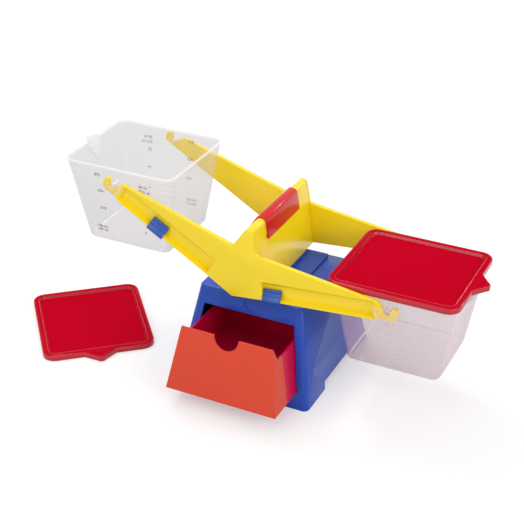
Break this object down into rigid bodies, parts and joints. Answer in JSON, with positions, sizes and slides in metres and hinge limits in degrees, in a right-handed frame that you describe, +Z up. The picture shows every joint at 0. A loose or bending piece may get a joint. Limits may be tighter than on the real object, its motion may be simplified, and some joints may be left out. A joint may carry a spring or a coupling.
{
  "type": "bucket balance",
  "caption": "Toy pan balance: tilting beam on a knife edge with lidded hanging buckets, sliding compensator clips and a tapered base with a drawer.",
  "frame": {"origin": "centre of the base's underside, on the foot in the middle of the floor plate, level with the rim that it stands on", "axes": "+X along the beam to the right, +Y from the drawer front to the back, +Z up"},
  "size_m": [0.5269, 0.2114, 0.2143],
  "materials": {
    "blue_plastic": "glossy moulded plastic, blue",
    "yellow_plastic": "glossy moulded plastic, yellow",
    "red_plastic": "glossy moulded plastic, red",
    "clear_plastic": "milky clear moulded plastic with printed graduations",
    "screw_steel": "zinc-plated steel"
  },
  "bodies": {
    "base": {"base_shell": "blue_plastic", "base_floor": "blue_plastic", "fulcrum": "blue_plastic", "floor_screw_1": "screw_steel", "floor_screw_2": "screw_steel", "floor_screw_3": "screw_steel", "floor_screw_4": "screw_steel", "fulcrum_screw_1": "screw_steel", "fulcrum_screw_2": "screw_steel"},
    "drawer": {"drawer": "red_plastic"},
    "beam": {"beam_saddle": "yellow_plastic", "beam_arm_front": "yellow_plastic", "beam_arm_rear": "yellow_plastic", "pivot_cap": "red_plastic"},
    "compensator_left": {"compensator_left": "blue_plastic"},
    "compensator_right": {"compensator_right": "blue_plastic"},
    "bucket_left": {"bucket_left": "clear_plastic"},
    "bucket_right": {"bucket_right": "clear_plastic"},
    "lid_left": {"lid_left": "red_plastic"},
    "lid_right": {"lid_right": "red_plastic"}
  },
  "joints": [
    {"name": "drawer_slide", "type": "slide", "parent": "base", "child": "drawer", "axis": [0, -1, 0], "range_m": [-0.0497, 0.055]},
    {"name": "beam_tilt", "type": "hinge", "parent": "base", "child": "beam", "pos_m": [0, 0, 0.1724], "axis": [0, 1, 0], "range_deg": [-25.86, 0]},
    {"name": "compensator_left_slide", "type": "slide", "parent": "beam", "child": "compensator_left", "axis": [-0.8604, 0, 0.5096], "range_m": [-0.056, 0.03]},
    {"name": "compensator_right_slide", "type": "slide", "parent": "beam", "child": "compensator_right", "axis": [0.9965, 0, 0.0832], "range_m": [0, 0.08]},
    {"name": "bucket_left_swing", "type": "hinge", "parent": "beam", "child": "bucket_left", "pos_m": [-0.15264, 0, 0.20026], "axis": [0, 1, 0], "range_deg": [-30, 30]},
    {"name": "bucket_right_swing", "type": "hinge", "parent": "beam", "child": "bucket_right", "pos_m": [0.1495, 0, 0.1309], "axis": [0, 1, 0], "range_deg": [-30, 30]},
    {"name": "lid_right_lift", "type": "slide", "parent": "bucket_right", "child": "lid_right", "axis": [0, 0, 1], "range_m": [0, 0.06]},
    {"name": "lid_left_lift", "type": "slide", "parent": "base", "child": "lid_left", "axis": [0, 0, 1], "range_m": [0, 0.06]}
  ]
}
